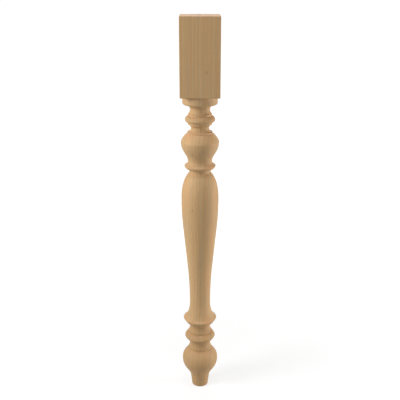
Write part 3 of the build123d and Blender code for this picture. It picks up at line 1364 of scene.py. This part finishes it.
    def spurs(self, sheet: Sheet, given: Sockets) -> NodeSocket:
        """Make the spurs that press their slots into the top.

        Args:
            sheet: The tree's sheet.
            given: The tree's inputs.

        Returns:
            The socket with the spurs.
        """
        both_ways = sheet.math("MULTIPLY", given["Spur Depth"], 2.0)
        size = sheet.combine(given["Spur Reach"], given["Spur Width"], both_ways)
        spur = sheet.add("GeometryNodeMeshCube", {"Size": size}).outputs["Mesh"]
        seat = sheet.combine(sheet.math("DIVIDE", given["Spur Reach"], 2.0), 0.0, given["Top"])
        spur = sheet.add("GeometryNodeTransform", {"Geometry": spur, "Translation": seat}).outputs[0]
        points = sheet.add("GeometryNodePoints", {"Count": given["Spur Count"]}).outputs[0]
        index = sheet.add("GeometryNodeInputIndex").outputs[0]
        turn = sheet.math("MULTIPLY", sheet.math("DIVIDE", index, given["Spur Count"]), 2 * math.pi)
        spread = sheet.add("GeometryNodeInstanceOnPoints", {
            "Points": points, "Instance": spur, "Rotation": sheet.combine(0.0, 0.0, turn),
        }).outputs[0]
        return sheet.add("GeometryNodeRealizeInstances", {"Geometry": spread}).outputs[0]

    def shading(self, sheet: Sheet, shape: NodeSocket) -> NodeSocket:
        """Shade the surface smooth between its sharp edges and flat where it is level.

        It also marks the faces that face up or down, where the end grain shows and the finish lays painted
        light.

        Args:
            sheet: The tree's sheet.
            shape: The socket with the surface.

        Returns:
            The socket with the shaded surface.
        """
        angle = sheet.add("GeometryNodeInputMeshEdgeAngle").outputs["Unsigned Angle"]
        sharp = sheet.math("GREATER_THAN", angle, self.sharp_angle)
        normal = sheet.add("GeometryNodeInputNormal").outputs[0]
        facing = sheet.math("ABSOLUTE", sheet.split(normal)[2])
        smooth = sheet.add("GeometryNodeSetShadeSmooth", {
            "Geometry": shape, "Shade Smooth": sheet.math("LESS_THAN", facing, self.level_from),
        }, domain="FACE")
        creased = sheet.add("GeometryNodeSetShadeSmooth", {
            "Geometry": smooth.outputs[0], "Selection": sharp, "Shade Smooth": False,
        }, domain="EDGE")
        # marks the faces that face up or down for the painted light of the finish
        ends = sheet.remap(facing, (self.end_grain_painted_light_from, 1.0), (0.0, 1.0), smooth=True)
        return sheet.add("GeometryNodeStoreNamedAttribute", {
            "Geometry": creased.outputs[0], "Name": END_GRAIN_PAINTED_LIGHT, "Value": ends,
        }, data_type="FLOAT", domain="FACE").outputs[0]


@dataclass(frozen=True)
class Leg:
    """The whole leg: a square block over turned mouldings, a long body and a ball foot."""

    foot: Foot = field(default_factory=Foot)
    ankle: Ankle = field(default_factory=Ankle)
    lower_collar: LowerCollar = field(default_factory=LowerCollar)
    body: Body = field(default_factory=Body)
    vase: Vase = field(default_factory=Vase)
    neck: Neck = field(default_factory=Neck)
    shoulder: Shoulder = field(default_factory=Shoulder)
    block: Block = field(default_factory=Block)
    sanding: Sanding = field(default_factory=Sanding)
    lathe: Lathe = field(default_factory=Lathe)
    finish: BeechFinish = field(default_factory=BeechFinish)
    name: str = "turned_leg"

    def turned_outline(self) -> list[complex]:
        """Draw everything below the block.

        Returns:
            The points from the centre mark in the underside up to the underside of the block.
        """
        lower = Outline(complex(0.0, self.foot.centre_mark_depth), 1)
        self.foot.draw(lower)
        self.ankle.draw(lower, self.lower_collar.low_cut)
        self.lower_collar.draw(lower, self.body.neck_cut)
        upper = Outline(self.block.flat_edge(self.block.bottom), -1)
        self.shoulder.draw(upper, self.neck.bead_top_cut + self.neck.top_ring_step)
        self.neck.draw(upper, self.vase.top_cut + self.vase.ring_step)
        self.vase.draw(upper, self.body.shoulder_cut)
        self.body.draw_shoulder(upper)
        self.body.join(lower, upper)
        downwards = [edge[::-1] for edge in reversed(upper.edges)]
        return self.sanding.ease(lower.edges + downwards)[:-1]

    def top_outline(self) -> list[complex]:
        """Draw the centre mark in the top.

        Returns:
            The points from the mouth of the mark in to its tip.
        """
        mouth = complex(self.block.mark_radius, self.block.top)
        tip = complex(0.0, self.block.top - self.block.mark_depth)
        return self.sanding.ease([[self.block.flat_edge(self.block.top), mouth], [mouth, tip]])[1:]

    def outline(self) -> list[tuple[complex, Section]]:
        """Give the whole outline, from the foot's underside to the middle of the top.

        Returns:
            Its points, each with the leg's cross-section there.
        """
        turned = [(point, Section.ROUND) for point in self.turned_outline()]
        square = [(point, Section.SQUARE) for point in self.block.square_points()]
        top = [(point, Section.ROUND) for point in self.top_outline()]
        return turned + square + top

    def build(self) -> bpy.types.Object:
        """Build the leg, give it its finish and fasten it to its body.

        Returns:
            The leg's object.
        """
        rows = self.outline()
        mesh = bpy.data.meshes.new("outline")
        mesh.from_pydata([(point.real, 0.0, point.imag) for point, _ in rows], [], [])
        square = mesh.attributes.new(SQUARE, "FLOAT", "POINT")
        square.data.foreach_set("value", [section.value for _, section in rows])
        leg = bpy.data.objects.new(self.name, mesh)
        bpy.context.scene.collection.objects.link(leg)
        self.turn(leg)
        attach(leg, BODY)
        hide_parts(NODE)
        log.info("%s: %d rows, %d faces", self.name, len(rows), len(leg.data.polygons))
        return leg

    def turn(self, leg: bpy.types.Object) -> None:
        """Turn the outline into the leg's plain mesh.

        Args:
            leg: The object that holds the outline's points.
        """
        block = self.block
        sizes = {
            "Side Columns": self.lathe.side_columns, "Arris Columns": self.lathe.arris_columns,
            "Half Width": block.half_width, "Arris": block.arris, "Top": block.top,
            "Spur Count": block.spur_count, "Spur Reach": block.spur_reach,
            "Spur Width": block.spur_width, "Spur Depth": block.spur_depth,
            "Finish": self.finish.material(),
        }
        lathe = leg.modifiers.new("lathe", "NODES")
        lathe.node_group = self.lathe.tree()
        for item in lathe.node_group.interface.items_tree:
            if item.name in sizes:
                lathe[item.identifier] = sizes[item.name]
        graph = bpy.context.evaluated_depsgraph_get()
        mesh = bpy.data.meshes.new_from_object(leg.evaluated_get(graph))
        leg.modifiers.remove(lathe)
        leg.data = mesh


@dataclass(frozen=True)
class Lamp:
    """A soft lamp that is aimed at the leg."""

    name: str
    place: Place
    aim: Place
    width: float
    height: float
    power: float

    def build(self) -> None:
        """Set the lamp up."""
        light = bpy.data.lights.new(self.name, "AREA")
        light.shape = "RECTANGLE"
        light.size = self.width
        light.size_y = self.height
        light.energy = self.power
        lamp = bpy.data.objects.new(self.name, light)
        lamp.location = self.place
        lamp.rotation_euler = (Vector(self.aim) - Vector(self.place)).to_track_quat("-Z", "Y").to_euler()
        bpy.context.scene.collection.objects.link(lamp)


@dataclass(frozen=True)
class Studio:
    """The plain pale floor, the white surroundings, the soft lamps and the camera."""

    floor_half: float = 60.0
    # painted pool of light: the floor's colour for bounced light, lighter near the leg than far off
    floor_bounce_pool: tuple[float, float] = (0.65, 0.2)
    floor_reach: tuple[float, float] = (0.25, 0.8)
    floor_seen: float = 0.32
    floor_glow: tuple[float, float] = (0.76, 1.0)
    floor_fade: tuple[float, float] = (0.2, 0.9)
    sky: Colour = (0.11, 0.11, 0.11, 1.0)
    lamps: tuple[Lamp, ...] = (
        Lamp("left_window", (-1.15, -0.50, 0.92), (0.0, 0.0, 0.45), 0.6, 0.6, 14.6),
        Lamp("right_wall", (1.5, -0.06, 0.3), (0.0, 0.0, 0.3), 0.7, 0.8, 17.5),
        Lamp("ceiling", (0.05, -0.45, 2.1), (0.0, 0.0, 0.4), 0.7, 0.5, 6.5),
        Lamp("back_wall", (0.0, 1.15, 1.45), (0.0, 0.0, 0.5), 0.5, 0.5, 4.5),
    )
    camera_place: Place = (0.0, -1.1387, 0.7954)
    camera_pitch: float = 70.76
    lens: float = 58.25
    sensor: float = 36.0

    def build(self) -> None:
        """Set the whole studio up."""
        self.build_floor()
        self.build_sky()
        for lamp in self.lamps:
            lamp.build()
        self.build_camera()
        bpy.context.scene.view_settings.view_transform = "Standard"

    @staticmethod
    def seen(sheet: Sheet) -> NodeSocket:
        """Tell the rays by which the camera sees a surface, straight, mirrored or through glass.

        Args:
            sheet: The sheet of the floor or of the world.

        Returns:
            The socket with 1 for those rays, and 0 for the others.
        """
        path = sheet.add("ShaderNodeLightPath").outputs
        mirrored = sheet.math("MAXIMUM", path["Is Glossy Ray"], path["Is Transmission Ray"])
        return sheet.math("MAXIMUM", path["Is Camera Ray"], mirrored)

    def build_floor(self) -> None:
        """Lay the floor."""
        half = self.floor_half
        corners = [(-half, -half, 0.0), (half, -half, 0.0), (half, half, 0.0), (-half, half, 0.0)]
        mesh = bpy.data.meshes.new("floor")
        mesh.from_pydata(corners, [], [(0, 1, 2, 3)])
        mesh.materials.append(self.floor_material())
        floor = bpy.data.objects.new("floor", mesh)
        bpy.context.scene.collection.objects.link(floor)

    def floor_material(self) -> bpy.types.Material:
        """Build a matt floor that shows as white and keeps the shadow of the leg, with a painted pool of
        light round the leg for bounced light.

        Returns:
            The finished material.
        """
        material = bpy.data.materials.new("pale_floor")
        material.use_nodes = True
        sheet = Sheet(material.node_tree)
        material.node_tree.nodes.clear()
        seen = self.seen(sheet)
        x, y, _ = sheet.split(sheet.add("ShaderNodeTexCoord").outputs["Object"])
        distance = sheet.length(x, y)
        glow = sheet.remap(distance, self.floor_fade, self.floor_glow, smooth=True)
        # painted pool of light round the leg, seen only by bounced light
        tone = sheet.remap(distance, self.floor_reach, self.floor_bounce_pool, smooth=True)
        shown = sheet.remap(seen, (0.0, 1.0), (tone, self.floor_seen))
        matt = sheet.add("ShaderNodeBsdfDiffuse", {"Color": sheet.combine(shown, shown, shown)})
        white = sheet.add("ShaderNodeEmission", {"Strength": sheet.math("MULTIPLY", seen, glow)})
        both = sheet.add("ShaderNodeAddShader")
        sheet.feed(both.inputs[0], matt.outputs[0])
        sheet.feed(both.inputs[1], white.outputs[0])
        sheet.add("ShaderNodeOutputMaterial", {"Surface": both.outputs[0]})
        return material

    def build_sky(self) -> None:
        """Light the scene from all round, and show white behind it."""
        world = bpy.data.worlds.new("studio_white")
        world.use_nodes = True
        sheet = Sheet(world.node_tree)
        world.node_tree.nodes.clear()
        glow = sheet.add("ShaderNodeBackground", {"Color": self.sky})
        white = sheet.add("ShaderNodeBackground", {"Color": WHITE})
        mix = sheet.add("ShaderNodeMixShader")
        for socket, value in zip(mix.inputs, (self.seen(sheet), glow.outputs[0], white.outputs[0])):
            sheet.feed(socket, value)
        sheet.add("ShaderNodeOutputWorld", {"Surface": mix.outputs[0]})
        bpy.context.scene.world = world

    def build_camera(self) -> None:
        """Put the camera where the photograph was taken from."""
        camera = bpy.data.objects.new("camera", bpy.data.cameras.new("camera"))
        camera.location = self.camera_place
        camera.rotation_euler = (math.radians(self.camera_pitch), 0.0, 0.0)
        camera.data.sensor_width = self.sensor
        camera.data.lens = self.lens
        bpy.context.scene.collection.objects.link(camera)
        bpy.context.scene.camera = camera


def main() -> None:
    """Build the leg and its studio."""
    logging.basicConfig(level=logging.INFO, format="%(message)s")
    Leg().build()
    Studio().build()
    log.info("studio: floor, sky, lamps and camera")


if __name__ == "__main__":
    main()
